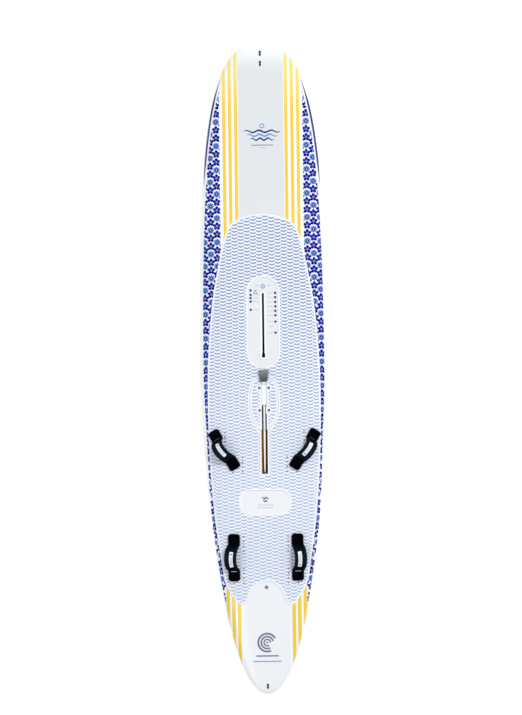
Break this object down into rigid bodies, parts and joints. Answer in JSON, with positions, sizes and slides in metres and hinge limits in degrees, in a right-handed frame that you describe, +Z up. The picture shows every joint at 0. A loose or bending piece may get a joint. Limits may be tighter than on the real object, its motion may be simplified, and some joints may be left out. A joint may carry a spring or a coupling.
{
  "type": "windsurf board",
  "caption": "Long windsurf board with a soft deck pad, mast track, swinging daggerboard, fin, vent screw, tow eyes and padded footstraps.",
  "frame": {"origin": "on the flat of the hull's bottom, at mid-length on the centreline", "axes": "+Y to the nose, +X to starboard, +Z up out of the deck"},
  "size_m": [0.7, 3.4988, 0.5537],
  "materials": {
    "deck_gelcoat": "gloss",
    "bottom_gelcoat": "gloss",
    "foam": "matte",
    "eva_pad": "matte",
    "white_plastic": "satin",
    "laminate": "satin",
    "black_plastic": "satin",
    "steel": "satin",
    "grey_rubber": "matte",
    "bronze": "satin",
    "gasket": "matte",
    "fin_laminate": "gloss",
    "rubber_ring": "matte",
    "neoprene": "matte",
    "webbing": "matte",
    "print_yellow": "gloss",
    "print_blue": "gloss",
    "print_light_blue": "gloss",
    "print_grey": "gloss",
    "label": "matte"
  },
  "bodies": {
    "hull": {"deck_shell": "deck_gelcoat", "bottom_shell": "bottom_gelcoat", "foam_core": "foam", "deck_pad": "eva_pad", "cassette_pad": "eva_pad", "mast_track": "white_plastic", "daggerboard_well": "laminate", "cassette": "black_plastic", "cassette_screw_1": "steel", "cassette_screw_2": "steel", "cassette_screw_3": "steel", "cassette_screw_4": "steel", "daggerboard_pin": "steel", "pivot_bush_left": "bronze", "pivot_bush_right": "bronze", "gasket_left": "gasket", "gasket_right": "gasket", "fin": "fin_laminate", "fin_box": "black_plastic", "fin_screw": "steel", "vent_housing": "white_plastic", "tow_eye_nose_front": "black_plastic", "tow_eye_nose_rear": "black_plastic", "tow_eye_tail": "black_plastic", "strap_cover_front_port": "neoprene", "strap_webbing_front_port": "webbing", "strap_insert_front_port_front": "black_plastic", "strap_screw_front_port_front": "steel", "strap_washer_front_port_front": "steel", "strap_insert_front_port_rear": "black_plastic", "strap_screw_front_port_rear": "steel", "strap_washer_front_port_rear": "steel", "strap_cover_front_starboard": "neoprene", "strap_webbing_front_starboard": "webbing", "strap_insert_front_starboard_front": "black_plastic", "strap_screw_front_starboard_front": "steel", "strap_washer_front_starboard_front": "steel", "strap_insert_front_starboard_rear": "black_plastic", "strap_screw_front_starboard_rear": "steel", "strap_washer_front_starboard_rear": "steel", "strap_cover_rear_port": "neoprene", "strap_webbing_rear_port": "webbing", "strap_insert_rear_port_front": "black_plastic", "strap_screw_rear_port_front": "steel", "strap_washer_rear_port_front": "steel", "strap_insert_rear_port_rear": "black_plastic", "strap_screw_rear_port_rear": "steel", "strap_washer_rear_port_rear": "steel", "strap_cover_rear_starboard": "neoprene", "strap_webbing_rear_starboard": "webbing", "strap_insert_rear_starboard_front": "black_plastic", "strap_screw_rear_starboard_front": "steel", "strap_washer_rear_starboard_front": "steel", "strap_insert_rear_starboard_rear": "black_plastic", "strap_screw_rear_starboard_rear": "steel", "strap_washer_rear_starboard_rear": "steel"},
    "daggerboard": {"daggerboard_blade": "white_plastic", "daggerboard_handle": "grey_rubber"},
    "vent_ring": {"vent_oring": "rubber_ring"},
    "vent_plug": {"vent_screw": "steel"}
  },
  "joints": [
    {"name": "daggerboard_pivot", "type": "hinge", "parent": "hull", "child": "daggerboard", "pos_m": [0, -0.165, 0.071], "axis": [1, 0, 0], "range_deg": [0, 90]},
    {"name": "vent_lift", "type": "slide", "parent": "hull", "child": "vent_ring", "axis": [0, -0.069, 0.9976], "range_m": [0, 0.00875]},
    {"name": "vent_turn", "type": "hinge", "parent": "vent_ring", "child": "vent_plug", "pos_m": [0, -1.173, 0.11878], "axis": [0, -0.069, 0.9976], "range_deg": [0, 1800]}
  ],
  "couplings": [
    {"joint": "vent_lift", "follows": "vent_turn", "m_per_rad": 0.00027852}
  ]
}
